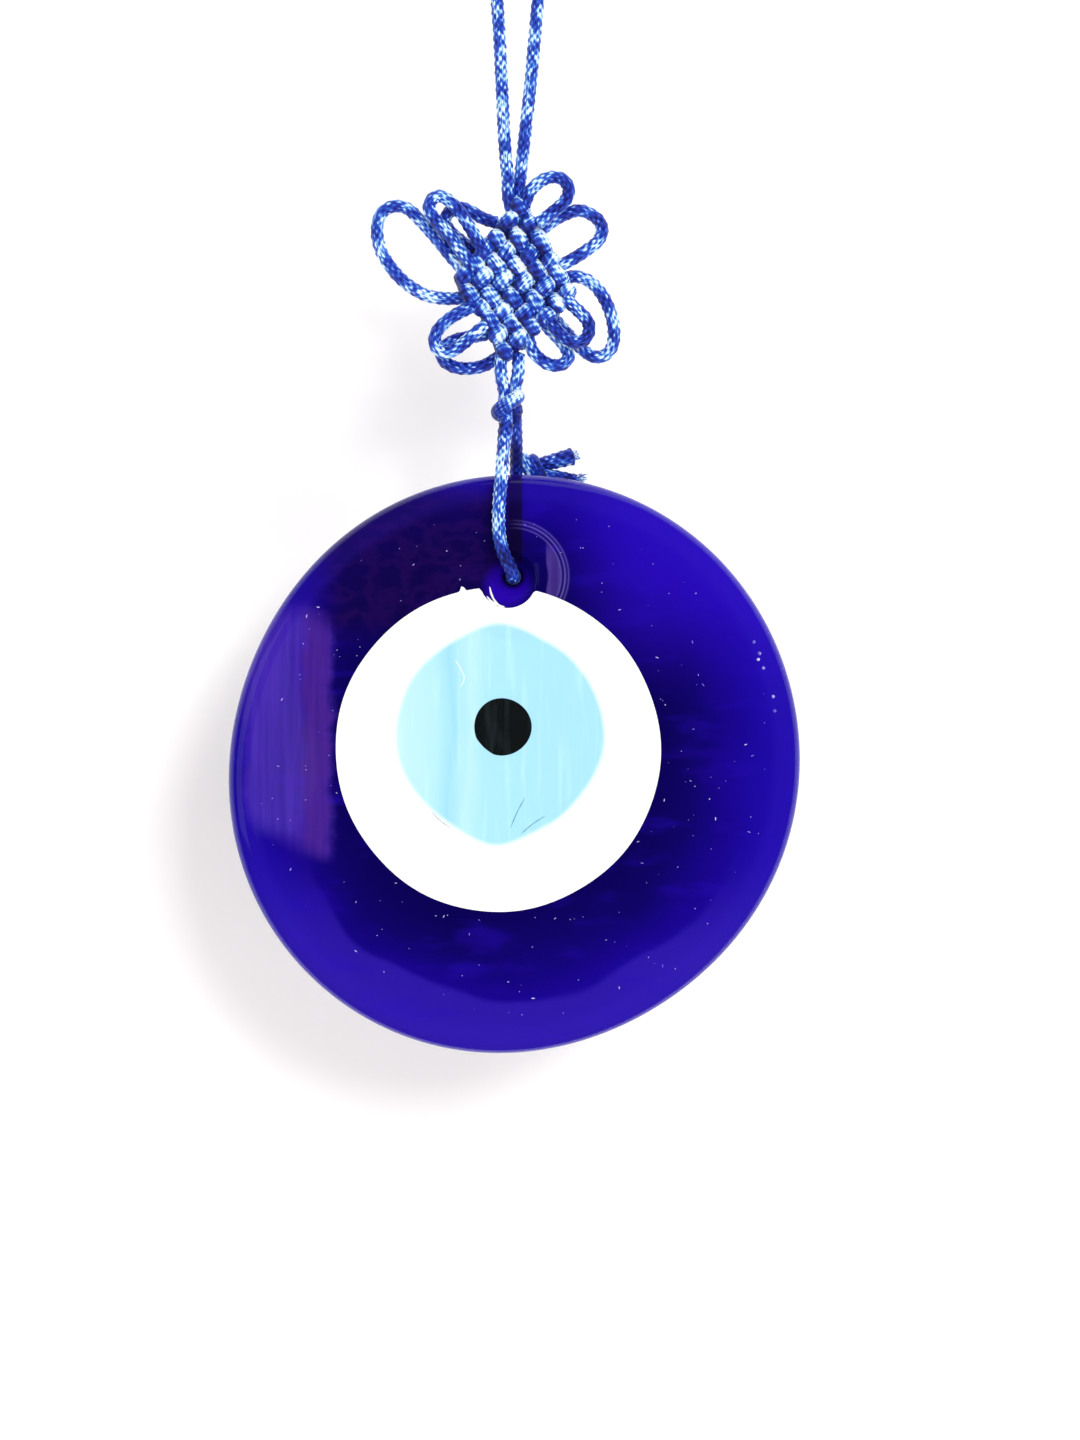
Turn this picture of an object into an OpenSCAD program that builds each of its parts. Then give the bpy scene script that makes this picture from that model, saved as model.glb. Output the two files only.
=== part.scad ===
// Evil eye ornament: a fused glass disc on a knotted satin cord.
// It hangs upright with +Z up and its front face towards -Y.
// The origin is the point on the inside top of the hanging loop that bears on the nail.

/* [Glass disc] */
// Outside length of the disc along its long diagonal
disc_long_d = 102.8; // [101:0.1:103]
// Outside length of the disc across its short diagonal
disc_short_d = 98.8; // [97:0.1:100]
// Direction of the long diagonal, counter-clockwise from the right
disc_long_dir = 50; // [30:5:70]
// Thickness of the disc where its rounded rim begins
disc_t = 7; // [6.6:0.1:7]
// Rise of the front dome above the rim
dome_h = 1.6; // [1.2:0.1:1.6]
// Radius of the foot of the front dome
dome_r = 46; // [44:0.5:46]

/* [Eye] */
// Radius of the white layer
white_r = 28.5; // [27:0.5:29]
// Radius of the light blue layer
iris_r = 18.1; // [17:0.1:19]
// Distance of the light blue layer's upper and lower points from its centre
iris_tip = 19.3; // [19.2:0.1:20]
// Radius of the black pupil
pupil_r = 5; // [4:0.5:6]

/* [Cord hole] */
// Radius of the straight part of the hole
hole_r = 1.4; // [1.4:0.1:1.8]
// Radius of the funnel's mouth
funnel_r = 5.2; // [5:0.1:5.5]
// Radius of the shallow dish pressed round the funnel
dish_r = 9.6; // [9:0.1:10]
// Depth of the dish
dish_depth = 1.2; // [1:0.1:1.4]

/* [Cord] */
// Diameter of the braided satin cord
cord_d = 2.3; // [2.1:0.1:2.3]

/* [Hidden] */

cord_r = cord_d / 2;
eps = 0.01;

// Heights and sideways places, in the ornament's own frame
disc_z = -159.2;
hole_v = 33;
white_at = [-2.6, 3.2];
iris_at = [-2.3, 5.6];
pupil_at = [-1.8, 6.7];
iris_lower_tip_dir = 258;

// Depths of the glass layers, measured from the disc's middle plane towards the front
front_w = disc_t / 2 + dome_h;
white_floor_w = 2.6;
iris_floor_w = 3.4;
pupil_floor_w = 4;
over_front = 2;

// The disc's outline is an oval of four arcs that meet on its diagonals
oval_shift = (disc_long_d - disc_short_d) / 2 / (2 - sqrt(2));
end_arc_r = disc_long_d / 2 - oval_shift;
side_arc_r = disc_short_d / 2 + oval_shift;
core_r = 44;
ring_w = 9;

// The dome is a cap of a large sphere, and the dish is a cap of a small one
dome_sphere_r = (pow(dome_r, 2) + pow(dome_h, 2)) / (2 * dome_h);
dome_steps = 12;
dish_rim_w = disc_t / 2 + dome_h * (1 - pow(hole_v / dome_r, 2));
dish_sphere_r = (pow(dish_r, 2) + pow(dish_depth, 2)) / (2 * dish_depth);
funnel_floor_w = 0.4;
back_mouth_r = 4.2;
back_mouth_depth = 2;

// The woven body of the decorative knot: corners of its lattice as [x, z]
weave_top = [1.2, -61.5];
weave_right = [9.8, -76.4];
weave_bottom = [-1, -86.9];
weave_left = [-9, -73.9];
weave_count = 6;
weave_layer_y = 1;
weave_overrun = 1.1;
weave_stub_low_z = -64;
weave_stub_top_z = -57.8;
weave_stubs_at = [[-0.95, -0.7], [1.15, 0.7]];

// Routes of the cord's free stretches: points on its centreline as [x, y, z]
hanging_loop_route = [
    [-0.9, -0.7, -57.2], [-1.5, -0.5, -50], [-2, -0.2, -40], [-2.5, 0, -30], [-3.1, 0, -22],
    [-4, 0, -13], [-4.4, 0, -7], [-4, 0, -3], [-2.4, 0, -0.1], [0, 0, 1.1],
    [2.4, 0, -0.1], [4.3, 0, -3], [5, 0, -7], [5, 0, -13], [4.6, 0, -22],
    [3.9, 0, -30], [3, 0.2, -40], [1.9, 0.5, -50], [1.1, 0.7, -57.2]
];
left_wing_route = [
    [-8.4, 0.6, -77.2], [-11.8, 0.6, -77.3], [-15.3, 0.6, -76.7], [-18.6, 0.6, -74.8],
    [-21.2, 0.6, -72.2], [-23.2, 0.6, -68.9], [-23.9, 0.6, -65.2], [-23, 0.6, -62.2],
    [-20.9, 0.6, -61.1], [-18.8, 0.6, -61.4], [-16.3, 0.6, -63.6], [-13.7, 0.6, -66.5],
    [-11.1, 0.6, -69.7], [-8.8, 0.6, -72.4]
];
upper_left_front_route = [
    [-6.7, -1.6, -72.2], [-9.4, -1.6, -68.9], [-11.6, -1.6, -65.9], [-13.6, -1.6, -63.8],
    [-14.7, -1.6, -61.8], [-14.2, -1.6, -60.2], [-13, -1.6, -59.6], [-11.2, -1.6, -60.4],
    [-9.1, -1.6, -62.7], [-7.5, -1.6, -65.2], [-6.1, -1.6, -67.6], [-5, -1.6, -69.3]
];
upper_left_back_route = [
    [-3, 1.3, -63.9], [-5.4, 1.3, -63.1], [-7.5, 1.3, -61.9], [-9.4, 1.3, -61.3],
    [-11.2, 1.3, -62], [-12, 1.3, -63.6], [-11.1, 1.3, -65.4], [-8.9, 1.3, -67.3],
    [-7, 1.3, -68.9], [-5, 1.3, -70.2]
];
top_right_route = [
    [1.9, -1.2, -61.3], [3, -1.2, -58.7], [4.9, -1.2, -56.9], [6.8, -1.2, -56.2],
    [8.6, -1.2, -56.6], [9.7, -1.2, -58.1], [9.5, -1.2, -59.7], [8.4, -1.2, -61.1],
    [6.5, -1.2, -62.7], [4.4, -1.2, -64.3]
];
right_route = [
    [4.4, 1.3, -65.6], [7, 1.3, -63.6], [9.3, 1.2, -62.4], [11.4, 1, -61.8],
    [13.5, 0.8, -62.4], [15.1, 0.4, -63.8], [15.6, 0, -65.4], [14.9, -0.4, -67.3],
    [13, -0.8, -68.9], [10.9, -1.1, -70.3], [8.4, -1.2, -71.7]
];
right_wing_route = [
    [8.7, 1.2, -73.6], [11.4, 1.2, -73.4], [13.5, 1.1, -74.3], [15.1, 1, -75.9],
    [16.5, 0.8, -78.3], [17.4, 0.8, -81], [17.7, 0.9, -83.6], [17.3, 1.2, -85.8],
    [16, 1.7, -87.2], [14.4, 2.1, -87.4], [12.8, 2.5, -86.6], [10.2, 2.9, -84],
    [8.2, 2.9, -81.7], [6.4, 2.4, -80]
];
inner_right_route = [
    [9.2, -1.7, -77.7], [11.6, -1.8, -79.9], [13, -1.8, -81.5], [13.3, -1.8, -83.1],
    [12.5, -1.8, -84.7], [10.9, -1.8, -85.2], [8.9, -1.8, -84.4], [7.5, -1.8, -82.9],
    [6.2, -1.7, -81.2]
];
bottom_right_route = [
    [2.6, 0.4, -83.9], [3.3, 0.4, -86.3], [4.9, 0.4, -88.1], [6.8, 0.5, -89],
    [8.7, 0.5, -88.8], [9.7, 0.5, -87.5], [9.1, 0.5, -85.8], [7.4, 0.5, -83.8],
    [6, 0.5, -82.3], [4.8, 0.5, -81]
];
lower_left_route = [
    [-7.2, -1.2, -78.9], [-10, -1.2, -80.3], [-12.1, -1.2, -81.8], [-13.5, -1.2, -83.6],
    [-13.7, -1.2, -85.5], [-12.6, -1.2, -86.8], [-11, -1.2, -86.8], [-8.9, -1.2, -85.5],
    [-6.2, -1.2, -83.2], [-4.4, -1.1, -81.9]
];
bottom_left_route = [
    [-2.2, 1.6, -87.2], [-5.2, 1.6, -89], [-8.2, 1.6, -89.5], [-10.7, 1.6, -89.1],
    [-12.4, 1.6, -87.8], [-12.4, 1.6, -86], [-10.4, 1.6, -84.6], [-8, 1.6, -84],
    [-5.4, 1.6, -83.6], [-3.6, 1.5, -83]
];
left_neck_route = [[-2.2, -0.4, -90], [-2, -0.5, -91.8], [-1.6, -0.6, -93.4], [-1.4, -0.7, -95]];
right_neck_route = [[0.9, -0.2, -90], [0.6, -0.1, -91.8], [0.2, 0.1, -93.4], [0, 0.4, -95]];
front_strand_route = [
    [-1.2, -1.5, -99.3], [-1.5, -2.4, -102], [-1.8, -4, -105.4], [-2, -5.2, -108.4],
    [-2.3, -5.7, -112], [-2.5, -6, -116], [-2.3, -6.1, -119.6], [-1.6, -5.9, -122.4],
    [-0.8, -5.2, -124.1], [-0.2, -4, -125.4], [0, -2.4, -126], [0, -0.4, -126.1],
    [0, 1.4, -126], [0.1, 3.2, -125.1], [0.3, 4.6, -123.5], [0.6, 5.4, -121],
    [1.2, 5.5, -117], [2, 5.6, -112.6], [2.9, 5.8, -109.2], [3.3, 5.9, -107.6]
];
back_strand_route = [
    [0.4, 1.5, -99.3], [0.5, 2.4, -102], [0.5, 4, -104.9], [0.5, 5.3, -107.6],
    [0.6, 6, -109.4], [1.4, 7, -110.6], [2.6, 7.9, -110], [3.2, 8.1, -108.3],
    [3.3, 7.6, -107.2]
];
upper_tail_route = [[4.4, 6.2, -106.2], [6.8, 6.4, -105.6], [10.5, 6.6, -104.6]];
lower_tail_route = [[4.8, 6.3, -107.4], [6.4, 6.6, -107.9], [9.2, 6.9, -108.4], [12.1, 7, -108.8]];

overhand_at = [-0.9, 0, -95.9];
overhand_ring_r = 1.6;
tie_off_at = [3.3, 6.2, -106.4];
tie_off_r = 2.1;

// Sweeping a round tube along a route. Across a route that stays in an XZ plane the
// rings are laid out from +Y, and across one that stays near a YZ plane from +X.
tube_sides = 8;
function unit(v) = v / norm(v);
function heading(route, i) =
    unit(route[min(i + 1, len(route) - 1)] - route[max(i - 1, 0)]);
function ring(centre, dir, across) =
    let (side = unit(cross(dir, across)), rise = cross(side, dir))
    [for (k = [0 : tube_sides - 1])
        let (turn = 360 * (k + 0.5) / tube_sides)
        centre + cord_r * (cos(turn) * side + sin(turn) * rise)];

module tube(route, across = [0, 1, 0]) {
    last = len(route) - 1;
    points = [for (i = [0 : last]) each ring(route[i], heading(route, i), across)];
    walls = [for (i = [0 : last - 1], k = [0 : tube_sides - 1])
        let (next = (k + 1) % tube_sides, a = i * tube_sides, b = a + tube_sides)
        [a + k, a + next, b + next, b + k]];
    near_end = [for (k = [tube_sides - 1 : -1 : 0]) k];
    far_end = [for (k = [0 : tube_sides - 1]) last * tube_sides + k];
    polyhedron(points, concat([near_end], walls, [far_end]), convexity = 8);
}

// A straight stretch of cord in one layer of the weave, from one [x, z] to another and a
// little past both
module weave_rod(from, to, y) {
    span = to - from;
    translate([from[0], y, from[1]])
        rotate([0, 90 - atan2(span[1], span[0]), 0])
            translate([0, 0, -weave_overrun])
                cylinder(r = cord_r, h = norm(span) + 2 * weave_overrun, $fn = 32);
}

// Puts a shape drawn with its front towards +Z at the disc's place in the ornament
module at_disc() {
    translate([0, 0, disc_z]) rotate([90, 0, 0]) children();
}

// One quarter of the rounded rim, centred on its own arc
module rim_quarter(arc_r, turn, shift) {
    rotate([0, 0, turn])
        translate([-shift, 0, 0])
            rotate([0, 0, -45])
                rotate_extrude(angle = 90, $fn = 360) {
                    translate([arc_r - ring_w, -disc_t / 2])
                        square([ring_w - disc_t / 2, disc_t]);
                    translate([arc_r - disc_t / 2, 0])
                        circle(d = disc_t, $fn = 64);
                }
}

// The whole glass body before the eye and the hole are taken out of it
module glass_blank() {
    rotate([0, 0, disc_long_dir]) {
        for (turn = [0, 180]) rim_quarter(end_arc_r, turn, -oval_shift);
        for (turn = [90, 270]) rim_quarter(side_arc_r, turn, oval_shift);
        cylinder(r = core_r, h = disc_t, center = true, $fn = 360);
    }
    dome_cap();
}

// The dome's height above the disc's middle plane, at a distance from its centre
function dome_w(r) = front_w - dome_sphere_r + sqrt(pow(dome_sphere_r, 2) - pow(r, 2));

module dome_cap() {
    cap_r = dome_r + 1;
    arc = [for (n = [dome_steps : -1 : 0]) let (r = cap_r * n / dome_steps) [r, dome_w(r)]];
    rotate_extrude($fn = 360) polygon(concat([[0, 0], [cap_r, 0]], arc));
}

// The funnel, the dish round it and the back chamfer, as one cutting tool
module cord_hole_tool() {
    translate([0, hole_v, 0]) {
        cylinder(r = hole_r, h = 3 * disc_t, center = true, $fn = 64);
        translate([0, 0, funnel_floor_w])
            cylinder(r1 = hole_r, r2 = funnel_r, h = dish_rim_w - dish_depth - funnel_floor_w + 0.3,
                     $fn = 64);
        translate([0, 0, -disc_t / 2 - eps])
            cylinder(r1 = back_mouth_r, r2 = hole_r, h = back_mouth_depth, $fn = 64);
        translate([0, 0, dish_rim_w - dish_depth + dish_sphere_r])
            sphere(r = dish_sphere_r, $fn = 200);
    }
}

// A round outline with two points that touch the circle smoothly
module iris_outline() {
    circle(r = iris_r, $fn = 180);
    half_angle = acos(iris_r / iris_tip);
    for (dir = [90, iris_lower_tip_dir])
        rotate([0, 0, dir])
            polygon([
                [0, 0],
                iris_r * [cos(half_angle), -sin(half_angle)],
                [iris_tip, 0],
                iris_r * [cos(half_angle), sin(half_angle)]
            ]);
}

module white_tool() {
    translate([white_at[0], white_at[1], white_floor_w])
        cylinder(r = white_r, h = front_w + over_front - white_floor_w, $fn = 180);
}

module iris_tool() {
    translate([iris_at[0], iris_at[1], iris_floor_w])
        linear_extrude(height = front_w + over_front - iris_floor_w)
            iris_outline();
}

module pupil_tool() {
    translate([pupil_at[0], pupil_at[1], pupil_floor_w])
        cylinder(r = pupil_r, h = front_w + over_front - pupil_floor_w, $fn = 64);
}

module cobalt_disc() {
    color("mediumblue")
        at_disc()
            difference() {
                glass_blank();
                white_tool();
                cord_hole_tool();
            }
}

module white_layer() {
    color("white")
        at_disc()
            difference() {
                intersection() {
                    dome_cap();
                    white_tool();
                }
                iris_tool();
                cord_hole_tool();
            }
}

module light_blue_layer() {
    color("powderblue")
        at_disc()
            difference() {
                intersection() {
                    dome_cap();
                    iris_tool();
                }
                pupil_tool();
            }
}

module black_pupil() {
    color("black")
        at_disc()
            intersection() {
                dome_cap();
                pupil_tool();
            }
}

module hanging_loop() {
    color("royalblue") tube(hanging_loop_route);
}

// A point of the weave's lattice, from 0 to 1 along each family of strands
function lattice(right, left) =
    (1 - right) * (1 - left) * weave_top + right * (1 - left) * weave_right
    + (1 - right) * left * weave_left + right * left * weave_bottom;

module knot_weave() {
    color("royalblue") {
        for (n = [0 : weave_count - 1]) {
            part = n / (weave_count - 1);
            weave_rod(lattice(0, part), lattice(1, part), -weave_layer_y);
            weave_rod(lattice(part, 0), lattice(part, 1), weave_layer_y);
        }
        for (at = weave_stubs_at)
            translate([at[0], at[1], weave_stub_low_z])
                cylinder(r = cord_r, h = weave_stub_top_z - weave_stub_low_z, $fn = 32);
    }
}

module left_wing_loop() {
    color("royalblue") tube(left_wing_route);
}

module upper_left_front_loop() {
    color("royalblue") tube(upper_left_front_route);
}

module upper_left_back_loop() {
    color("royalblue") tube(upper_left_back_route);
}

module top_right_loop() {
    color("royalblue") tube(top_right_route);
}

module right_loop() {
    color("royalblue") tube(right_route);
}

module right_wing_loop() {
    color("royalblue") tube(right_wing_route);
}

module inner_right_loop() {
    color("royalblue") tube(inner_right_route);
}

module bottom_right_loop() {
    color("royalblue") tube(bottom_right_route);
}

module lower_left_loop() {
    color("royalblue") tube(lower_left_route);
}

module bottom_left_loop() {
    color("royalblue") tube(bottom_left_route);
}

module left_neck_strand() {
    color("royalblue") tube(left_neck_route);
}

module right_neck_strand() {
    color("royalblue") tube(right_neck_route);
}

// Two turns of cord pulled tight round the neck strands
module overhand_knot() {
    color("royalblue")
        translate(overhand_at)
            for (tilt = [-25, 25])
                rotate([0, tilt, 0])
                    translate([0, 0, tilt / 25 * 0.9])
                        rotate_extrude($fn = 64)
                            translate([0, -cord_r])
                                intersection() {
                                    translate([overhand_ring_r, cord_r]) circle(r = cord_r, $fn = 32);
                                    square([overhand_ring_r + cord_r, cord_d]);
                                }
}

module front_strand() {
    color("royalblue") tube(front_strand_route, [1, 0, 0]);
}

module back_strand() {
    color("royalblue") tube(back_strand_route, [1, 0, 0]);
}

module tie_off_knot() {
    color("royalblue") translate(tie_off_at) sphere(r = tie_off_r, $fn = 64);
}

module upper_tail() {
    color("royalblue") tube(upper_tail_route);
}

module lower_tail() {
    color("royalblue") tube(lower_tail_route);
}

cobalt_disc();
white_layer();
light_blue_layer();
black_pupil();
hanging_loop();
knot_weave();
left_wing_loop();
upper_left_front_loop();
upper_left_back_loop();
top_right_loop();
right_loop();
right_wing_loop();
inner_right_loop();
bottom_right_loop();
lower_left_loop();
bottom_left_loop();
left_neck_strand();
right_neck_strand();
overhand_knot();
front_strand();
back_strand();
tie_off_knot();
upper_tail();
lower_tail();
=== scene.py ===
import math
import random

import bpy
import numpy as np
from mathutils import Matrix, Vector


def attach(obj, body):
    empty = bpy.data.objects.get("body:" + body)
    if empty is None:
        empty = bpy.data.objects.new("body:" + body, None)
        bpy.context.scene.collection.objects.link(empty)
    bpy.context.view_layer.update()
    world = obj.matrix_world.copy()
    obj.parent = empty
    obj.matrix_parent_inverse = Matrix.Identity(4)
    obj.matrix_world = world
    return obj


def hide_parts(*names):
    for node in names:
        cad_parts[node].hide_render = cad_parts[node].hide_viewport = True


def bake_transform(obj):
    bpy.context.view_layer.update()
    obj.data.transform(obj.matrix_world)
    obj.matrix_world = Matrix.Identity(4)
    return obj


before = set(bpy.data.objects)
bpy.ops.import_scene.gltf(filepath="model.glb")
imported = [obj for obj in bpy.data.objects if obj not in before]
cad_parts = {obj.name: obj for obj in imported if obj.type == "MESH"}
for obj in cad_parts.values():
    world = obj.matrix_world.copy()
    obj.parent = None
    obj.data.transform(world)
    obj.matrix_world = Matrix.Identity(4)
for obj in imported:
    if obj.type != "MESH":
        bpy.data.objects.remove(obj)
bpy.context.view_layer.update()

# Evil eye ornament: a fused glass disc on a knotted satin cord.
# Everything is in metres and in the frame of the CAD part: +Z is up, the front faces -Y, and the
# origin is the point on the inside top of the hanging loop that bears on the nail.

random.seed(7)

# Camera
CAMERA_AT = (0.0047, -0.7, -0.1513)
VIEW_HEIGHT = 0.2526
SENSOR = 36

# Stage
WALL_Y = 0.062
WALL_WIDTH = 2.4
WALL_TOP_Z = 0.7
FLOOR_Z = -0.36
FLOOR_FRONT_Y = -1.0
FLOOR_BACK_Y = 1.2
SURROUND = (0.52, 0.51, 0.515, 1)
MIRRORED_SURROUND = (0.06, 0.06, 0.07, 1)

# Cord
CORD_R = 0.00115
AROUND = 28
RING_STEP = 0.00016
THREADS = 6
BRAID_PITCH = 0.0015
BRAID_DEPTH = 0.17
HATCH_PITCH = 0.00062
HATCH_DEPTH = 0.09
# share of the relief that lies under the cord's nominal surface
SUNK_SHARE = 0.7
# the side of each cord that gets a painted highlight
LIT_SIDE = np.array((0.6, -0.3, 0.74))

# Knot
WEAVE_TOP = np.array((0.0012, 0, -0.0615))
WEAVE_RIGHT = np.array((0.0098, 0, -0.0764))
WEAVE_BOTTOM = np.array((-0.001, 0, -0.0869))
WEAVE_LEFT = np.array((-0.009, 0, -0.0739))
WEAVE_COUNT = 6
STUB_TOPS = ((-0.0009, -0.0007, -0.0568), (0.0011, 0.0007, -0.0568))
WEAVE_WAVE = 0.00105
WEAVE_STRAY = 0.00032
NECK_TOP_Z = -0.0872
TIE_OFF_AT = np.array((0.0033, 0.0062, -0.1064))
LOWER_TAIL_CUT_X = 0.0112

# Disc: u runs right, v up and w forward from its middle
DISC_AT = np.array((0, 0, -0.1592))
DISC_R = 0.0504
# waves round the outline: how many, their height and their phase
OUTLINE_WAVES = (
    (1, 0.00013, -math.pi / 2),
    (2, 0.0009, math.radians(-110)),
    (3, 0.0003, 0.56),
    (5, 0.00008, 2),
)
# the disc's columns, as directions that spread from the hole
RAYS = np.linspace(0, 2 * math.pi, 400, endpoint=False)
HALVINGS = 40
DISC_T = 0.007
DOME_H = 0.0016
RIPPLE_H = 0.00003
DENT_H = 0.00006
RIM_R = DISC_T / 2
HOLE_V = 0.033
HOLE_R = 0.0013
FUNNEL_AT = (-0.0009, 0.0325)
FUNNEL_R = 0.005
FUNNEL_FLOOR_W = 0.0004
DISH_R = 0.0096
DISH_DEPTH = 0.0012
# distance from the hole and height of the ridges round the dish
DISH_RIDGES = ((0.0084, 0.00005), (0.0091, 0.00008), (0.0097, 0.00005))
BACK_MOUTH_R = 0.0042
BACK_MOUTH_W = -0.0015

# Eye layers, each a little proud of the one below
WHITE_AT = (-0.0026, 0.0028)
EYE_X = DISC_AT[0] + WHITE_AT[0]
EYE_Z = DISC_AT[2] + WHITE_AT[1]
WHITE_R = 0.0283
SPUR_H = 0.0011
SPUR_DIR = math.atan2(31.1, -6.9)
SPUR_HALF = 0.022
IRIS_AT = (-0.0023, 0.0056)
IRIS_R = 0.0181
# direction and reach of the light blue's two blunt points
IRIS_TIPS = ((math.radians(90), 0.0206), (math.radians(267), 0.0218))
IRIS_BLUNT = 0.2
PUPIL_AT = (-0.0018, 0.0067)
PUPIL_R = 0.005
WHITE_PROUD = 0.00005
IRIS_PROUD = 0.00009
PUPIL_PROUD = 0.00013
POLISHED = {"Roughness": 0.05, "Specular IOR Level": 0.22, "IOR": 1.5}

# Flaws in the glass. Threads have (u, v) points and a thickness.
SPECK_COUNT = 150
SPECK_REACH = 0.0455
# height and distance in from the edge of the bubbles at the right
EDGE_BUBBLES = (
    (0.017, 0.0042), (0.0185, 0.0047), (0.0195, 0.0041),
    (0.0215, 0.0043), (0.012, 0.0038), (0.0095, 0.004),
)
IRIS_HAIRS = (
    ([(0.0021, -0.0056), (0.0007, -0.0082), (-0.0005, -0.011)], 0.00006),
    ([(0.0056, -0.0088), (0.0036, -0.0101), (0.0014, -0.0119)], 0.00006),
    ([(-0.0142, -0.0081), (-0.0126, -0.0097), (-0.0107, -0.011)], 0.00005),
)
IRIS_SWIRL = (
    ([(-0.0101, 0.0184), (-0.0093, 0.0172), (-0.0085, 0.0152), (-0.0092, 0.0136)], 0.00008),
)
# the thin white shard in the funnel's lower left
WHITE_SLIVER = (
    (
        [(-0.0041, 0.0312), (-0.0038, 0.0299), (-0.0032, 0.0287), (-0.0024, 0.0279), (-0.0014, 0.0276)],
        0.0002,
    ),
    ([(-0.0046, 0.0295), (-0.0037, 0.0285), (-0.0026, 0.0279)], 0.00022),
)

# Routes of the cord's free stretches, the same as in the CAD source
HANGING_LOOP_ROUTE = [
    (-0.0009, -0.0007, -0.0572), (-0.0015, -0.0005, -0.05), (-0.002, -0.0002, -0.04),
    (-0.0025, 0, -0.03), (-0.0031, 0, -0.022), (-0.004, 0, -0.013), (-0.0044, 0, -0.007),
    (-0.004, 0, -0.003), (-0.0024, 0, -0.0001), (0, 0, 0.0011), (0.0024, 0, -0.0001),
    (0.0043, 0, -0.003), (0.005, 0, -0.007), (0.005, 0, -0.013), (0.0046, 0, -0.022),
    (0.0039, 0, -0.03), (0.003, 0.0002, -0.04), (0.0019, 0.0005, -0.05), (0.0011, 0.0007, -0.0572),
]
LEFT_WING_ROUTE = [
    (-0.0084, 0.0006, -0.0772), (-0.0118, 0.0006, -0.0773), (-0.0153, 0.0006, -0.0767),
    (-0.0186, 0.0006, -0.0748), (-0.0212, 0.0006, -0.0722), (-0.0232, 0.0006, -0.0689),
    (-0.0239, 0.0006, -0.0652), (-0.023, 0.0006, -0.0622), (-0.0209, 0.0006, -0.0611),
    (-0.0188, 0.0006, -0.0614), (-0.0163, 0.0006, -0.0636), (-0.0137, 0.0006, -0.0665),
    (-0.0111, 0.0006, -0.0697), (-0.0088, 0.0006, -0.0724),
]
UPPER_LEFT_FRONT_ROUTE = [
    (-0.0067, -0.0016, -0.0722), (-0.0094, -0.0016, -0.0689), (-0.0116, -0.0016, -0.0659),
    (-0.0136, -0.0016, -0.0638), (-0.0147, -0.0016, -0.0618), (-0.0142, -0.0016, -0.0602),
    (-0.013, -0.0016, -0.0596), (-0.0112, -0.0016, -0.0604), (-0.0091, -0.0016, -0.0627),
    (-0.0075, -0.0016, -0.0652), (-0.0061, -0.0016, -0.0676), (-0.005, -0.0016, -0.0693),
]
UPPER_LEFT_BACK_ROUTE = [
    (-0.003, 0.0013, -0.0639), (-0.0054, 0.0013, -0.0631), (-0.0075, 0.0013, -0.0619),
    (-0.0094, 0.0013, -0.0613), (-0.0112, 0.0013, -0.062), (-0.012, 0.0013, -0.0636),
    (-0.0111, 0.0013, -0.0654), (-0.0089, 0.0013, -0.0673), (-0.007, 0.0013, -0.0689),
    (-0.005, 0.0013, -0.0702),
]
TOP_RIGHT_ROUTE = [
    (0.0019, -0.0012, -0.0613), (0.003, -0.0012, -0.0587), (0.0049, -0.0012, -0.0569),
    (0.0068, -0.0012, -0.0562), (0.0086, -0.0012, -0.0566), (0.0097, -0.0012, -0.0581),
    (0.0095, -0.0012, -0.0597), (0.0084, -0.0012, -0.0611), (0.0065, -0.0012, -0.0627),
    (0.0044, -0.0012, -0.0643),
]
RIGHT_ROUTE = [
    (0.0044, 0.0013, -0.0656), (0.007, 0.0013, -0.0636), (0.0093, 0.0012, -0.0624),
    (0.0114, 0.001, -0.0618), (0.0135, 0.0008, -0.0624), (0.0151, 0.0004, -0.0638),
    (0.0156, 0, -0.0654), (0.0149, -0.0004, -0.0673), (0.013, -0.0008, -0.0689),
    (0.0109, -0.0011, -0.0703), (0.0084, -0.0012, -0.0717),
]
RIGHT_WING_ROUTE = [
    (0.0087, 0.0012, -0.0736), (0.0114, 0.0012, -0.0734), (0.0135, 0.0011, -0.0743),
    (0.0151, 0.001, -0.0759), (0.0165, 0.0008, -0.0783), (0.0174, 0.0008, -0.081),
    (0.0177, 0.0009, -0.0836), (0.0173, 0.0012, -0.0858), (0.016, 0.0017, -0.0872),
    (0.0144, 0.0021, -0.0874), (0.0128, 0.0025, -0.0866), (0.0102, 0.0029, -0.084),
    (0.0082, 0.0029, -0.0817), (0.0064, 0.0024, -0.08),
]
INNER_RIGHT_ROUTE = [
    (0.0092, -0.0017, -0.0777), (0.0116, -0.0018, -0.0799), (0.013, -0.0018, -0.0815),
    (0.0133, -0.0018, -0.0831), (0.0125, -0.0018, -0.0847), (0.0109, -0.0018, -0.0852),
    (0.0089, -0.0018, -0.0844), (0.0075, -0.0018, -0.0829), (0.0062, -0.0017, -0.0812),
]
BOTTOM_RIGHT_ROUTE = [
    (0.0026, 0.0004, -0.0839), (0.0033, 0.0004, -0.0863), (0.0049, 0.0004, -0.0881),
    (0.0068, 0.0005, -0.089), (0.0087, 0.0005, -0.0888), (0.0097, 0.0005, -0.0875),
    (0.0091, 0.0005, -0.0858), (0.0074, 0.0005, -0.0838), (0.006, 0.0005, -0.0823),
    (0.0048, 0.0005, -0.081),
]
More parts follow.
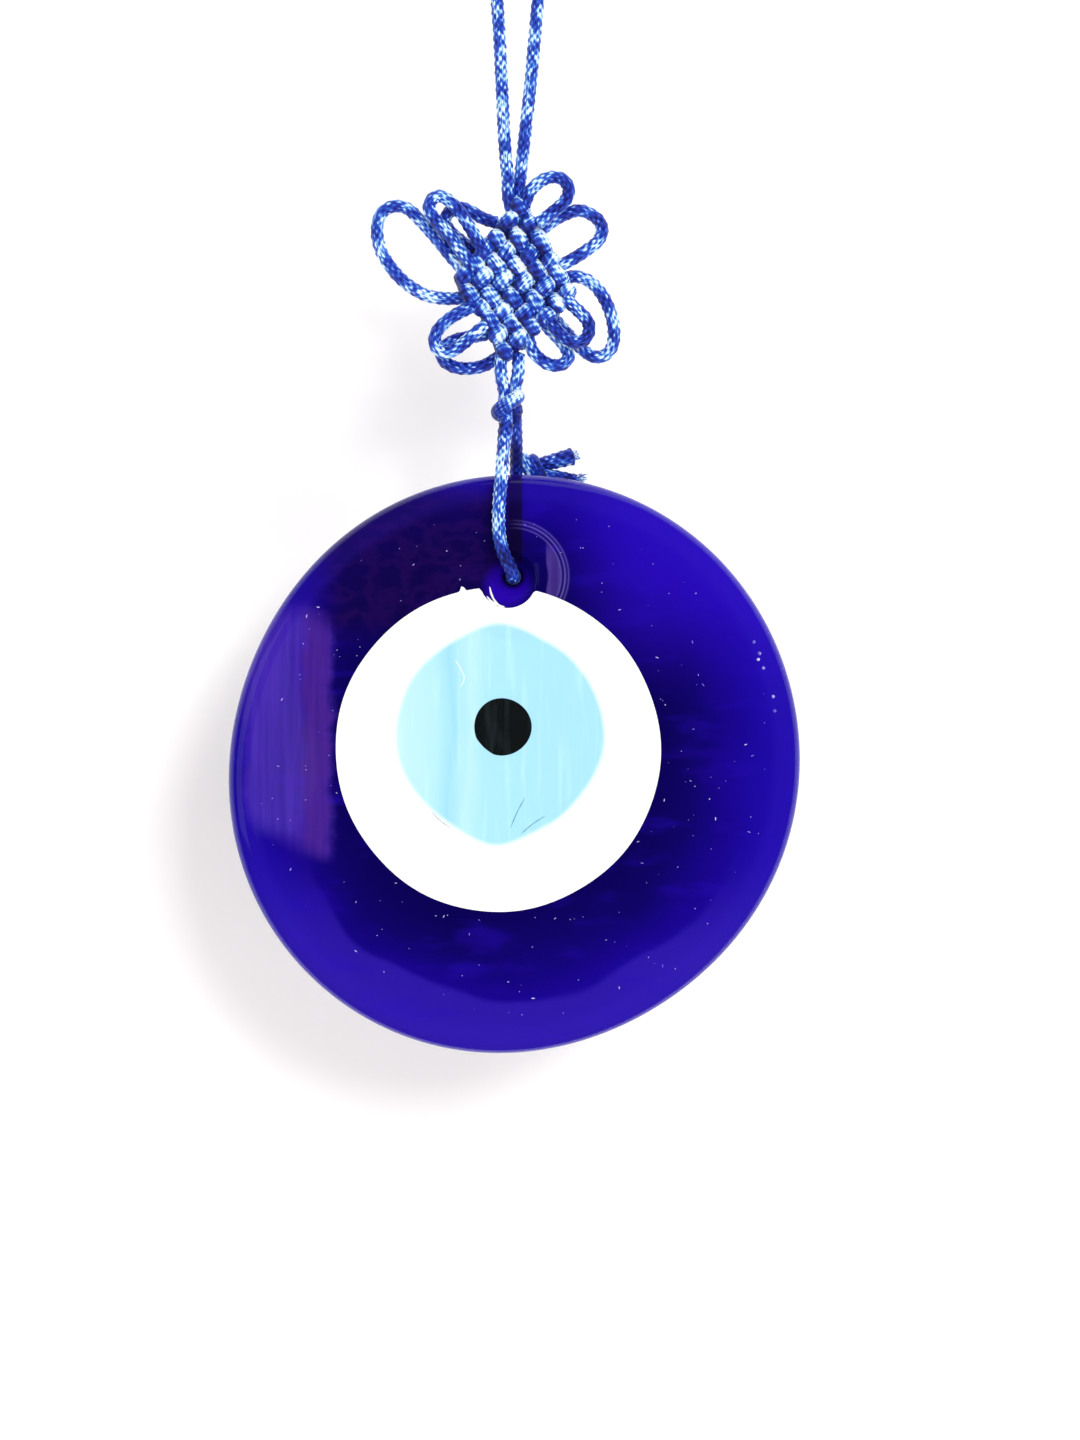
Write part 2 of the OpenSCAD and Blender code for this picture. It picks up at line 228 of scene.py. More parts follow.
LOWER_LEFT_ROUTE = [
    (-0.0072, -0.0012, -0.0789), (-0.01, -0.0012, -0.0803), (-0.0121, -0.0012, -0.0818),
    (-0.0135, -0.0012, -0.0836), (-0.0137, -0.0012, -0.0855), (-0.0126, -0.0012, -0.0868),
    (-0.011, -0.0012, -0.0868), (-0.0089, -0.0012, -0.0855), (-0.0062, -0.0012, -0.0832),
    (-0.0044, -0.0011, -0.0819),
]
BOTTOM_LEFT_ROUTE = [
    (-0.0022, 0.0016, -0.0872), (-0.0052, 0.0016, -0.089), (-0.0082, 0.0016, -0.0895),
    (-0.0107, 0.0016, -0.0891), (-0.0124, 0.0016, -0.0878), (-0.0124, 0.0016, -0.086),
    (-0.0104, 0.0016, -0.0846), (-0.008, 0.0016, -0.084), (-0.0054, 0.0016, -0.0836),
    (-0.0036, 0.0015, -0.083),
]
LEFT_NECK_ROUTE = [
    (-0.0022, -0.0004, -0.09), (-0.002, -0.0005, -0.0918), (-0.0016, -0.0006, -0.0934),
    (-0.0014, -0.0007, -0.095),
]
RIGHT_NECK_ROUTE = [
    (0.0009, -0.0002, -0.09), (0.0006, -0.0001, -0.0918), (0.0002, 0.0001, -0.0934),
    (0, 0.0004, -0.095),
]
FRONT_STRAND_ROUTE = [
    (-0.0012, -0.0015, -0.0993), (-0.0015, -0.0024, -0.102), (-0.0018, -0.004, -0.1054),
    (-0.002, -0.0052, -0.1084), (-0.0023, -0.0057, -0.112), (-0.0025, -0.006, -0.116),
    (-0.0023, -0.0061, -0.1196), (-0.0016, -0.0059, -0.1224), (-0.0008, -0.0052, -0.1241),
    (-0.0002, -0.004, -0.1254), (0, -0.0024, -0.126), (0, -0.0004, -0.1261), (0, 0.0014, -0.126),
    (0.0001, 0.0032, -0.1251), (0.0003, 0.0046, -0.1235), (0.0006, 0.0054, -0.121),
    (0.0012, 0.0055, -0.117), (0.002, 0.0056, -0.1126), (0.0029, 0.0058, -0.1092),
    (0.0033, 0.0059, -0.1076),
]
BACK_STRAND_ROUTE = [
    (0.0004, 0.0015, -0.0993), (0.0005, 0.0024, -0.102), (0.0005, 0.004, -0.1049),
    (0.0005, 0.0053, -0.1076), (0.0006, 0.006, -0.1094), (0.0014, 0.007, -0.1106),
    (0.0026, 0.0079, -0.11), (0.0032, 0.0081, -0.1083), (0.0033, 0.0076, -0.1072),
]
UPPER_TAIL_ROUTE = [
    (0.0044, 0.0062, -0.1062), (0.0068, 0.0064, -0.1056), (0.0105, 0.0066, -0.1046),
]
LOWER_TAIL_ROUTE = [
    (0.0048, 0.0063, -0.1074), (0.0064, 0.0066, -0.1079), (0.0092, 0.0069, -0.1084),
    (0.0121, 0.007, -0.1088),
]
OVERHAND_BAND = [
    (-0.0006, 0.0016, -0.0974), (-0.0018, 0.0011, -0.0977), (-0.0026, -0.0002, -0.0974),
    (-0.0023, -0.0014, -0.0969), (-0.0013, -0.002, -0.0962), (-0.0001, -0.0019, -0.0954),
    (0.0006, -0.001, -0.0947), (0.0006, 0.0004, -0.0946), (0.0001, 0.0014, -0.0951),
    (-0.0008, 0.0016, -0.0956),
]
OVERHAND_TURN = [
    (-0.0013, 0.0012, -0.0955), (-0.0016, 0.0002, -0.095), (-0.001, -0.0008, -0.0951),
    (0.0002, -0.0004, -0.0962), (0.0006, 0.0004, -0.097), (0.0002, 0.0012, -0.0974),
    (-0.001, 0.0013, -0.0972),
]
OVERHAND_LEFT = [
    (-0.0015, -0.0006, -0.0944), (-0.0013, -0.0004, -0.0962), (-0.0012, -0.0011, -0.098),
    (-0.0012, -0.0015, -0.0994),
]
OVERHAND_RIGHT = [
    (0, 0.0004, -0.0944), (0.0002, 0.0005, -0.0962), (0.0004, 0.0011, -0.098),
    (0.0004, 0.0015, -0.0994),
]

# CAD node, route, and its painted lightness: painted highlight above 0, painted shade below 0
EARS = [
    ("left_wing_loop", LEFT_WING_ROUTE, 0.15),
    ("upper_left_front_loop", UPPER_LEFT_FRONT_ROUTE, 0.08),
    ("upper_left_back_loop", UPPER_LEFT_BACK_ROUTE, -0.02),
    ("top_right_loop", TOP_RIGHT_ROUTE, 0.02),
    ("right_loop", RIGHT_ROUTE, 0.06),
    ("right_wing_loop", RIGHT_WING_ROUTE, 0.08),
    ("inner_right_loop", INNER_RIGHT_ROUTE, 0.04),
    ("bottom_right_loop", BOTTOM_RIGHT_ROUTE, 0.1),
    ("lower_left_loop", LOWER_LEFT_ROUTE, 0.12),
    ("bottom_left_loop", BOTTOM_LEFT_ROUTE, 0.02),
]
NECK_STRANDS = [
    ("left_neck_strand", LEFT_NECK_ROUTE, 0.12),
    ("right_neck_strand", RIGHT_NECK_ROUTE, 0.08),
]


# ---- Small helpers ----

def srgb(red, green, blue):
    """A colour given as 0 to 255 screen values, as the linear values that shaders take."""
    def linear(value):
        share = value / 255
        return share / 12.92 if share <= 0.04045 else ((share + 0.055) / 1.055) ** 2.4
    return (linear(red), linear(green), linear(blue), 1)


def smooth_step(value, low, high):
    """0 below low, 1 above high and an even curve between."""
    share = np.clip((value - low) / (high - low), 0, 1)
    return share * share * (3 - 2 * share)


def ring_faces(rows, columns, closed=False, backwards=False):
    """Faces of a grid whose rows are rings. closed joins the last ring to the first, and
    backwards turns every face over."""
    column = np.arange(columns)
    after = np.roll(column, -1)
    faces = []
    for row in range(rows if closed else rows - 1):
        low = row * columns
        high = (row + 1) % rows * columns
        first, *others = (low + column, low + after, high + after, high + column)
        if backwards:
            others.reverse()
        faces += list(zip(first, *others))
    return faces


def fan(centre, start, columns, backwards=False):
    """Triangles from a centre point to the ring of points that begins at start."""
    column = start + np.arange(columns)
    after = np.roll(column, -1)
    if backwards:
        column, after = after, column
    return [(centre, a, b) for a, b in zip(column, after)]


def mesh_object(name, points, faces, values=None):
    """A smooth-shaded object from points and faces. values are named numbers, one to a point."""
    mesh = bpy.data.meshes.new(name)
    mesh.from_pydata([tuple(p) for p in points], [], [tuple(f) for f in faces])
    mesh.polygons.foreach_set("use_smooth", [True] * len(mesh.polygons))
    for key, numbers in (values or {}).items():
        numbers = np.asarray(numbers, np.float32)
        kind, field = ("FLOAT_VECTOR", "vector") if numbers.ndim == 2 else ("FLOAT", "value")
        mesh.attributes.new(key, kind, "POINT").data.foreach_set(field, numbers.ravel())
    mesh.update()
    made = bpy.data.objects.new(name, mesh)
    bpy.context.scene.collection.objects.link(made)
    return made


def join_parts(parts):
    """Several (points, faces, values) as one."""
    points = np.vstack([p for p, _, _ in parts])
    faces = []
    start = 0
    for part_points, part_faces, _ in parts:
        faces += [tuple(start + i for i in face) for face in part_faces]
        start += len(part_points)
    values = {key: np.concatenate([v[key] for _, _, v in parts]) for key in parts[0][2]}
    return points, faces, values


def dressed_piece(name, shape, material, nodes):
    """A piece with its material, hiding the CAD nodes it replaces."""
    piece = mesh_object(name, *shape)
    piece.data.materials.append(material)
    if nodes:
        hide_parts(*nodes)
    return piece


def cord_piece(name, parts, material, *nodes):
    """One cord piece made of tubes."""
    return dressed_piece(name, join_parts(parts), material, nodes)


def glass_piece(name, shape, material, slot, *nodes):
    """One piece that turns with the disc."""
    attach(dressed_piece(name, shape, material, nodes), "disc")


# ---- Camera and stage ----

def make_camera():
    """Looks straight at the ornament from in front."""
    data = bpy.data.cameras.new("camera")
    data.sensor_width = SENSOR
    data.lens = SENSOR * -CAMERA_AT[1] / VIEW_HEIGHT
    camera = bpy.data.objects.new("camera", data)
    camera.location = CAMERA_AT
    camera.rotation_euler = (math.radians(90), 0, 0)
    bpy.context.scene.collection.objects.link(camera)
    bpy.context.scene.camera = camera


def sheet(name, material, near, far):
    """A wide flat sheet between two edges, each given as (y, z)."""
    half = WALL_WIDTH / 2
    corners = [(-half, *near), (half, *near), (half, *far), (-half, *far)]
    piece = mesh_object(name, corners, [(0, 1, 2, 3)])
    piece.data.materials.append(material)
    return piece


def make_stage(material):
    """A wall behind the ornament and a floor well below it."""
    wall = sheet("wall", material, (WALL_Y, FLOOR_Z), (WALL_Y, WALL_TOP_Z))
    floor = sheet("floor", material, (FLOOR_FRONT_Y, FLOOR_Z), (FLOOR_BACK_Y, FLOOR_Z))
    floor.visible_glossy = False


def area_light(name, at, target, width, height, watts, mirrored):
    """A rectangular lamp that the camera doesn't see. mirrored lamps show in the glass."""
    data = bpy.data.lights.new(name, "AREA")
    data.shape = "RECTANGLE"
    data.size = width
    data.size_y = height
    data.energy = watts
    light = bpy.data.objects.new(name, data)
    light.location = at
    light.rotation_mode = "QUATERNION"
    light.rotation_quaternion = (Vector(target) - light.location).to_track_quat("-Z", "Y")
    light.visible_camera = False
    light.visible_glossy = mirrored
    bpy.context.scene.collection.objects.link(light)


def make_lights():
    middle = (0, 0, -0.14)
    area_light("front", (0.36, -1.45, 0.16), middle, 0.26, 0.26, 7.6, mirrored=False)
    area_light("key", (0.62, -0.85, 0.42), middle, 0.36, 0.36, 3.6, mirrored=False)
    area_light("fill", (-0.95, -0.7, -0.05), middle, 0.7, 0.7, 1.3, mirrored=True)
    area_light("top", (0.15, -0.1, 0.75), middle, 0.6, 0.3, 0.7, mirrored=True)
    area_light("window", (-0.42, -2, -0.1), (0, 0, -0.15), 0.1, 0.36, 0.05, mirrored=True)


def make_world():
    """A soft grey surround, nearly black where the glass mirrors it."""
    world = bpy.data.worlds.new("studio")
    world.use_nodes = True
    tree = world.node_tree
    mix = add(tree, "ShaderNodeMix", {
        "Factor": add(tree, "ShaderNodeLightPath").outputs["Is Glossy Ray"],
        "A": SURROUND,
        "B": MIRRORED_SURROUND,
    }, data_type="RGBA")
    feed(tree.nodes["Background"], {"Strength": 1, "Color": mix.outputs["Result"]})
    bpy.context.scene.world = world


# ---- Materials ----

def new_material(name):
    """A material with its node tree and its main shader."""
    material = bpy.data.materials.new(name)
    material.use_nodes = True
    tree = material.node_tree
    return material, tree, tree.nodes["Principled BSDF"]


def feed(node, inputs):
    """Gives a node's inputs, by name or number, a socket to follow or a plain value."""
    for key, value in inputs.items():
        if isinstance(value, bpy.types.NodeSocket):
            node.id_data.links.new(value, node.inputs[key])
        else:
            node.inputs[key].default_value = value


def add(tree, kind, inputs=None, **settings):
    """A new node with its settings and inputs."""
    node = tree.nodes.new(kind)
    for key, value in settings.items():
        setattr(node, key, value)
    feed(node, inputs or {})
    return node


def attribute(tree, name, output="Fac"):
    """The values of the given name that a mesh carries."""
    return add(tree, "ShaderNodeAttribute", attribute_name=name).outputs[output]


def place(tree):
    """The ornament's own coordinates at rest."""
    return add(tree, "ShaderNodeTexCoord").outputs["Object"]


def axes(vector):
    return add(vector.id_data, "ShaderNodeSeparateXYZ", {"Vector": vector}).outputs


def maths(operation, first, *others):
    """A Math node's result. first is a socket, and each of the others a socket or a number."""
    inputs = dict(enumerate((first, *others)))
    return add(first.id_data, "ShaderNodeMath", inputs, operation=operation).outputs[0]


def times(product, *shares):
    """A socket multiplied by each share in turn."""
    for share in shares:
        product = maths("MULTIPLY", product, share)
    return product


def plus(base, extra, share):
    """base with a share of extra on top."""
    return maths("MULTIPLY_ADD", extra, share, base)


def noise(vector, density, detail):
    """Noise with its own density along each axis."""
    mapping = add(vector.id_data, "ShaderNodeMapping", {"Vector": vector, "Scale": density})
    inputs = {"Vector": mapping.outputs["Vector"], "Scale": 1, "Detail": detail}
    return add(vector.id_data, "ShaderNodeTexNoise", inputs).outputs["Fac"]


def map_range(value, low, high, to_low=0.0, to_high=1.0):
    """An even curve from to_low at low up to to_high at high."""
    inputs = {"Value": value, "From Min": low, "From Max": high, "To Min": to_low, "To Max": to_high}
    node = add(value.id_data, "ShaderNodeMapRange", inputs, interpolation_type="SMOOTHSTEP")
    return node.outputs["Result"]


def window(value, low, high, soft):
    """1 between low and high, falling to 0 over soft outside them."""
    rise = map_range(value, low - soft, low)
    fall = map_range(value, high, high + soft, 1.0, 0.0)
    return times(rise, fall)


def distance_from(xyz, x, z):
    """How far each point is from the line that runs front to back through (x, z)."""
    across = maths("SUBTRACT", xyz["X"], x)
    up = maths("SUBTRACT", xyz["Z"], z)
    return maths("SQRT", maths("MULTIPLY_ADD", up, up, times(across, across)))


def ramp(factor, stops):
    """A colour ramp through (level, screen colour) stops."""
    node = add(factor.id_data, "ShaderNodeValToRGB", {"Fac": factor})
    elements = node.color_ramp.elements
    while len(elements) < len(stops):
        elements.new(0.5)
    for element, (level, colour) in zip(elements, stops):
        element.position = level
        element.color = srgb(*colour)
    return node.outputs["Color"]


def laid_over(below, colour, *shares):
    """A screen colour over what is below it, by the product of the shares."""
    inputs = {"Factor": times(*shares), "A": below, "B": srgb(*colour)}
    return add(below.id_data, "ShaderNodeMix", inputs, data_type="RGBA").outputs["Result"]


def stage_material():
    """Matt white from the front, and nothing at all from behind, so that a wall hides no view."""
    material, tree, shader = new_material("stage_white")
    feed(shader, {
        "Base Color": (0.97, 0.955, 0.945, 1),
        "Emission Color": (1, 0.99, 0.98, 1),
        "Emission Strength": 0.09,
        "Roughness": 0.9,
        "Specular IOR Level": 0.1,
    })
    mix = add(tree, "ShaderNodeMixShader", {
        "Fac": add(tree, "ShaderNodeNewGeometry").outputs["Backfacing"],
        1: shader.outputs["BSDF"],
        2: add(tree, "ShaderNodeBsdfTransparent").outputs["BSDF"],
    })
    feed(tree.nodes["Material Output"], {"Surface": mix.outputs["Shader"]})
    return material


def satin_cord_material():
    """Royal blue satin braid with fine fibres. Its colour carries painted highlights on the thread crowns
    and in light streaks, and painted shade in the deep blue gaps.
    """
    material, tree, shader = new_material("satin_cord")
    run = attribute(tree, "run", "Vector")
    glint_dashes = noise(run, (3600, 800, 1), 2.0)
    fibres = noise(run, (9000, 1500, 1), 3.0)
    highlight_patches = noise(run, (350, 260, 1), 2.0)
    # painted highlight and shade: the shine attribute, the thread crowns and glinting noise make it
    # lighter, and the rest stays deep blue
    tone = plus(attribute(tree, "shine"), attribute(tree, "crown"), 0.42)
    tone = plus(tone, glint_dashes, 1.15)
    tone = plus(tone, map_range(highlight_patches, 0.38, 0.62), 0.36)
    tone = plus(tone, fibres, 0.25)
    tone = maths("SUBTRACT", tone, 0.77)
    colour = ramp(tone, [
        (0.02, (8, 10, 90)),
        (0.18, (18, 36, 150)),
        (0.42, (30, 68, 190)),
        (0.54, (66, 126, 218)),
        (0.64, (160, 212, 246)),
        (0.78, (236, 248, 255)),
    ])
    grain = add(tree, "ShaderNodeBump", {"Height": fibres, "Distance": 0.00005, "Strength": 0.7})
    feed(shader, {
        "Base Color": colour,
        "Roughness": 0.42,
        "Specular IOR Level": 0.5,
        "Sheen Weight": 0.35,
        "Sheen Roughness": 0.35,
        "Sheen Tint": srgb(150, 200, 255),
        "Normal": grain.outputs["Normal"],
    })
    return material


def cobalt_material():
    """Deep cobalt glass, navy round the eye and lighter blue towards the rim by painted shade, with a
    painted reflection of a window in violet streaks to the left, and painted shade where the cord
    runs up behind it."""
    material, tree, shader = new_material("cobalt_glass")
    spot = place(tree)
    xyz = axes(spot)
    x = xyz["X"]
    z = xyz["Z"]
    waver = noise(spot, (38, 38, 38), 2.0)
    flows = noise(spot, (70, 1, 240), 4.0)
    streaks = noise(spot, (900, 1, 45), 4.0)
    swirls = noise(spot, (160, 1, 230), 5.0)
    in_front = map_range(xyz["Y"], 0.001, 0)

    # the body, from the eye out to the rim, with painted shade that is darkest round the eye
    out = plus(distance_from(xyz, EYE_X, EYE_Z), waver, 0.012)
    body = ramp(map_range(out, 0.03, 0.062), [
        (0.0, (6, 0, 72)),
        (0.3, (11, 1, 92)),
        (0.62, (20, 2, 128)),
        (0.9, (26, 6, 152)),
    ])

    # painted reflections: lighter blue along the lower edge and at the upper right; lighter flows all
    # over
    from_middle = plus(distance_from(xyz, DISC_AT[0], DISC_AT[2]), waver, 0.008)
    by_edge = map_range(from_middle, 0.044, 0.0455)
    low_down = map_range(z, -0.172, -0.194)
    body = laid_over(body, (44, 24, 156), by_edge, low_down, 0.7)
    far_right = map_range(x, 0.006, 0.026)
    high_up = map_range(z, -0.15, -0.125)
    body = laid_over(body, (40, 8, 182), far_right, high_up, 0.6)
    body = laid_over(body, (34, 8, 164), map_range(flows, 0.5, 0.72), 0.35)

    # a dark patch with faint swirls at the upper left
    upper_left = times(window(x, -0.029, -0.004, 0.008), window(z, -0.133, -0.114, 0.006))
    body = laid_over(body, (12, 2, 62), upper_left, 0.85)
    body = laid_over(body, (50, 16, 92), upper_left, window(swirls, 0.5, 0.52, 0.07), 0.18)

    # a painted reflection of a window at the left: pale streaks, redder along their inner side
    mirrored_pane_x = plus(x, swirls, 0.004)
    mirrored_pane_z = plus(plus(z, waver, 0.014), x, 0.42)
    mirrored_pane = times(
        window(mirrored_pane_x, -0.0435, -0.031, 0.0025),
        window(mirrored_pane_z, -0.177, -0.143, 0.005),
        map_range(streaks, 0.3, 0.7, 0.6, 1.0),
        in_front,
    )
    body = laid_over(body, (72, 42, 170), mirrored_pane, 0.75)
    body = laid_over(body, (70, 26, 104), mirrored_pane, window(mirrored_pane_x, -0.0335, -0.031, 0.002), 0.5)

    # painted shade where the cord runs behind the glass, painted light in the bowl of the funnel and
    # painted shade in the hole
    cord_x = window(x, -0.0006, 0.0014, 0.0004)
    cord_z = window(z, -0.1235, -0.1085, 0.0015)
    body = laid_over(body, (12, 3, 38), cord_x, cord_z, in_front, 0.85)
    bowl = distance_from(xyz, FUNNEL_AT[0], FUNNEL_AT[1] + DISC_AT[2] - 0.0012)
    body = laid_over(body, (42, 5, 172), map_range(bowl, 0.0052, 0.0022), 0.85)
    mouth = distance_from(xyz, 0, HOLE_V + DISC_AT[2])
    body = laid_over(body, (8, 2, 40), map_range(mouth, 0.0026, 0.0014), 0.9)

    # pale haze to the right of the hole
    haze = times(
        window(mouth, 0.0064, 0.0082, 0.0005),
        window(x, 0.006, 0.0085, 0.0004),
        map_range(z, -0.119, -0.1225),
        map_range(streaks, 0.3, 0.65, 0.3, 1.0),
        in_front,
    )
    body = laid_over(body, (82, 60, 148), haze, 0.65)

    # painted light on the rim and on the ridges round the funnel
    body = laid_over(body, (58, 36, 176), attribute(tree, "rim"))
    body = laid_over(body, (120, 100, 200), attribute(tree, "ridge_light"))
    feed(shader, {"Base Color": body, **POLISHED})
    return material


def iris_material():
    """Light blue glass with upright streaks, melting into white at its edge."""
    material, tree, shader = new_material("light_blue_glass")
    spot = place(tree)
    waver = noise(spot, (60, 60, 45), 3.0)
    threads = noise(spot, (700, 1, 60), 4.0)
    across = plus(axes(spot)["X"], waver, 0.006)
    colour = ramp(map_range(across, -0.0185, 0.0215), [
        (0.0, (184, 226, 247)),
        (0.1, (172, 222, 245)),
        (0.17, (152, 210, 241)),
        (0.27, (178, 224, 247)),
        (0.38, (163, 217, 244)),
        (0.9, (160, 214, 242)),
    ])
    colour = laid_over(colour, (214, 250, 255), map_range(threads, 0.5, 0.75, 0.0, 0.22))
    melting = plus(attribute(tree, "edge"), waver, 0.05)
    colour = laid_over(colour, (254, 255, 254), map_range(melting, 0.985, 1.065))
    feed(shader, {"Base Color": colour, **POLISHED})
    return material


def clouded_material(name, density, detail, stops, finish):
    """A material whose colour drifts with noise between two stops."""
    material, tree, shader = new_material(name)
    colour = ramp(noise(place(tree), density, detail), stops)
    feed(shader, {"Base Color": colour, **finish})
    return material


def white_material():
    """Opaque white glass."""
    stops = [(0.35, (250, 250, 250)), (0.7, (255, 255, 253))]
    return clouded_material("white_glass", (60, 60, 40), 3.0, stops, POLISHED)


def pupil_material():
    """Black glass with faint grey streaks."""
    stops = [(0.5, (14, 18, 19)), (0.68, (32, 40, 43))]
    return clouded_material("black_glass", (420, 1, 70), 3.0, stops, POLISHED)


def speck_material():
    """Dust, seeds and bubbles in the blue glass."""
    stops = [(0.35, (96, 84, 214)), (0.65, (206, 204, 246))]
    return clouded_material("glass_specks", (900, 900, 900), 2.0, stops, {"Roughness": 0.4})


def hair_material():
    """Thin dark threads trapped under the light blue glass."""
    stops = [(0.35, (28, 84, 98)), (0.65, (92, 158, 176))]
    return clouded_material("glass_hairs", (700, 700, 700), 2.0, stops, {"Roughness": 0.3})


# ---- Cord ----

def runs_along(line):
    """How far along a line each of its points is."""
    return np.concatenate([[0], np.cumsum(np.linalg.norm(np.diff(line, axis=0), axis=1))])


def smooth_line(points, step=RING_STEP):
    """Points a step apart along a centripetal Catmull-Rom curve through the given ones."""
    given = np.array(points, float)
    given = np.vstack([2 * given[0] - given[1], given, 2 * given[-1] - given[-2]])
    fine = []
    for a, b, c, d in zip(given, given[1:], given[2:], given[3:]):
        gaps = [math.sqrt(np.linalg.norm(q - p)) for p, q in ((a, b), (b, c), (c, d))]
        t1 = gaps[0]
        t2 = t1 + gaps[1]
        t3 = t2 + gaps[2]
        t = np.linspace(t1, t2, 24, endpoint=False)[:, None]
        ab = ((t1 - t) * a + t * b) / t1
        bc = ((t2 - t) * b + (t - t1) * c) / (t2 - t1)
        cd = ((t3 - t) * c + (t - t2) * d) / (t3 - t2)
        abc = ((t2 - t) * ab + t * bc) / t2
        bcd = ((t3 - t) * bc + (t - t1) * cd) / (t3 - t1)
        fine.append(((t2 - t) * abc + (t - t1) * bcd) / (t2 - t1))
    fine = np.vstack([*fine, given[-2:-1]])
    runs = runs_along(fine)
    count = max(4, round(runs[-1] / step) + 1)
    places = np.linspace(0, runs[-1], count)
    return np.column_stack([np.interp(places, runs, fine[:, k]) for k in range(3)])


def sides_along(line):
    """Two directions across the line at each point, carried along it without twisting."""
    ahead = np.gradient(line, axis=0)
    ahead /= np.linalg.norm(ahead, axis=1)[:, None]
    side = np.cross(ahead[0], (0, 1, 0))
    if np.linalg.norm(side) < 0.1:
        side = np.cross(ahead[0], (1, 0, 0))
    sides = []
    for direction in ahead:
        side = side - direction * (side @ direction)
        side = side / np.linalg.norm(side)
        sides.append(side)
    sides = np.array(sides)
    return sides, np.cross(ahead, sides)


def blunt_end(inner, end, radius):
    """The middle point of a tube's end, a little past the line's last point."""
    out = end - inner
    return end + out / np.linalg.norm(out) * radius * 0.5


def tube(line, radius=CORD_R, shine=0.0, lit=0.05, hatch=0.0, swell=1.0, around=AROUND):
    """A cord as (points, faces, values). hatch 0 is the open braid and 1 the oblique hatching of
    a tightly bent one. shine is painted highlight where above 0 and painted shade where below 0,
    lit paints a highlight on its upper right side, and swell scales it. shine and swell are a
    number, or one to a ring."""
    run = runs_along(line)[:, None]
    turn = np.linspace(0, 2 * math.pi, around, endpoint=False)[None, :]
    braid = 0.5 + 0.5 * np.cos(THREADS * turn) * np.cos(2 * math.pi * run / BRAID_PITCH)
    bands = 0.5 + 0.5 * np.cos(2 * math.pi * run / HATCH_PITCH + 2 * turn)
    crown = (1 - hatch) * braid + hatch * bands
    depth = (1 - hatch) * BRAID_DEPTH + hatch * HATCH_DEPTH
    size = radius * (1 - SUNK_SHARE * depth + depth * crown) * np.reshape(swell, (-1, 1))
    side, rise = sides_along(line)
    out = np.cos(turn)[..., None] * side[:, None, :] + np.sin(turn)[..., None] * rise[:, None, :]
    points = (line[:, None, :] + size[..., None] * out).reshape(-1, 3)
    shines = np.reshape(shine, (-1, 1)) + lit * (out @ LIT_SIDE)
    seed = random.random() * 40
    runs = np.stack([
        np.broadcast_to(np.abs(turn - math.pi) * radius, crown.shape),
        np.broadcast_to(run, crown.shape),
        np.full(crown.shape, seed),
    ], axis=-1)
    first = len(points)
    faces = ring_faces(len(line), around, backwards=True)
    faces += fan(first, 0, around)
    faces += fan(first + 1, first - around, around, backwards=True)
    ends = [blunt_end(line[1], line[0], radius), blunt_end(line[-2], line[-1], radius)]
    values = {
        "crown": np.concatenate([crown.ravel(), [0.3, 0.3]]),
        "shine": np.concatenate([shines.ravel(), [0, 0]]),
        "run": np.vstack([runs.reshape(-1, 3), (0, run[0, 0], seed), (0, run[-1, 0], seed)]),
    }
    return np.vstack([points, *ends]), faces, values


def round_ends(line, reach):
    """Swell values that round a tube off over the last stretch at both ends."""
    run = runs_along(line)
    near = np.clip(np.minimum(run, run[-1] - run) / reach, 0, 1)
    return np.sqrt(1 - (1 - near) ** 2) * 0.9 + 0.1


def make_hanging_loop(material):
    line = smooth_line(HANGING_LOOP_ROUTE)
    # painted highlight, a little stronger towards the nail
    by_nail = 1 - smooth_step(line[:, 2], -0.02, -0.06)
    parts = [tube(line, shine=0.11 + 0.03 * by_nail)]
    piece = cord_piece("hanging_loop_cord", parts, material, "hanging_loop")
    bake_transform(piece)


def make_ears(material):
    """The knot's loops, each from the weave and back into it."""
    for node, route, shine in EARS:
        line = smooth_line(route)
        piece = cord_piece(f"{node}_cord", [tube(line, shine=shine)], material, node)
        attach(piece, "knot")


def lattice(right, left):
    """A point of the weave, from 0 to 1 along each family of strands."""
    return (
        (1 - right) * (1 - left) * WEAVE_TOP + right * (1 - left) * WEAVE_RIGHT
        + (1 - right) * left * WEAVE_LEFT + right * left * WEAVE_BOTTOM
    )


def woven_strand(number, family):
    """One strand that passes over and under the other family's strands."""
    samples = 90
    spans = WEAVE_COUNT - 1
    across = number / spans
    facing = -1 if family == "right" else 1
    reach = 0.34 / spans
    points = []
    heights = []
    for t in np.linspace(-reach, 1 + reach, samples):
        at = lattice(t, across) if family == "right" else lattice(across, t)
        height = facing * math.cos(math.pi * (spans * t + number))
        stray_x = math.sin(7 * t + 2.3 * number + facing)
        stray_z = math.sin(9 * t + 1.7 * number - facing)
        points.append(at + np.array((WEAVE_STRAY * stray_x, WEAVE_WAVE * height, WEAVE_STRAY * stray_z)))
        heights.append(-height)
    line = smooth_line(points)
    front = np.interp(np.linspace(0, 1, len(line)), np.linspace(0, 1, samples), heights)
    uneven = 0.07 * np.sin(np.linspace(0, 17, len(line)) + 2.9 * number)
    swell = round_ends(line, 0.0013) * (1.14 + 0.2 * front + uneven)
    # painted highlight on the upper right side and where a strand passes over, painted shade where it
    # passes under
    return tube(line, hatch=0.8, shine=0.04 * front - 0.02, lit=0.42, swell=swell)


